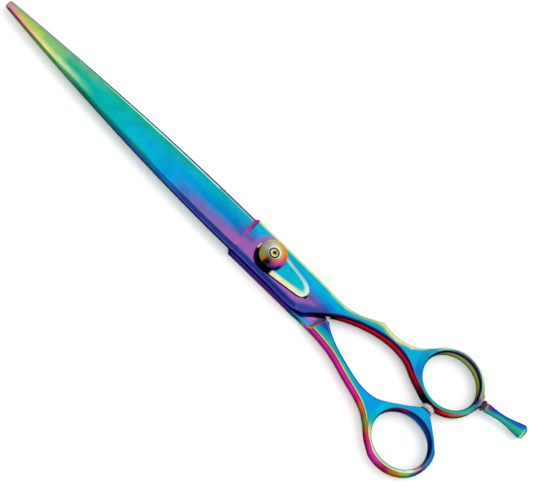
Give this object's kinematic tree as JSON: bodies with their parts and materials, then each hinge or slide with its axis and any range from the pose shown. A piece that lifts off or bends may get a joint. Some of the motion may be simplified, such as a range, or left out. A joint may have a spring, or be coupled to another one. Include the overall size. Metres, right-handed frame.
{
  "type": "barber shears",
  "caption": "Long hair-cutting shears with plain blades, offset finger rings, a screwed finger rest and a round dial over a leaf plate that sets the pivot's tension.",
  "frame": {"origin": "centre of the pivot screw's flush head, on the pivot axis and in the plane of the back face", "axes": "+X towards the finger rings, tips at -X; +Y towards the finger ring that carries the finger rest; +Z along the pivot axis, out of the face that carries the dial"},
  "size_m": [0.2478, 0.0586, 0.011],
  "materials": {
    "coated_steel": "mirror polish under a rainbow titanium coating",
    "coated_dial": "mirror polish under a gold to violet titanium coating",
    "plain_steel": "plain spring steel",
    "clear_nylon": "frosted, nearly clear",
    "black_rubber": "satin"
  },
  "bodies": {
    "finger_side": {"finger_half": "coated_steel", "pivot_screw": "coated_steel", "tension_leaf": "coated_steel", "spring_washer": "plain_steel", "dial_lock_screw": "coated_dial"},
    "thumb_side": {"thumb_half": "coated_steel", "pivot_bushing": "clear_nylon", "thrust_washer": "clear_nylon", "bumper": "clear_nylon"},
    "dial": {"tension_dial": "coated_dial"},
    "finger_rest": {"tang": "coated_steel", "tang_washer": "black_rubber"}
  },
  "joints": [
    {"name": "blades_open", "type": "hinge", "parent": "finger_side", "child": "thumb_side", "pos_m": [0, 0, 0], "axis": [0, 0, -1], "range_deg": [0, 90]},
    {"name": "dial_turn", "type": "hinge", "parent": "finger_side", "child": "dial", "pos_m": [0, 0, 0.0077], "axis": [0, 0, 1], "range_deg": [-180, 180]},
    {"name": "finger_rest_turn", "type": "hinge", "parent": "finger_side", "child": "finger_rest", "pos_m": [0.09618, 0.0193, 0.00315], "axis": [0.9803, 0.1977, 0], "range_deg": [-180, 180]}
  ]
}
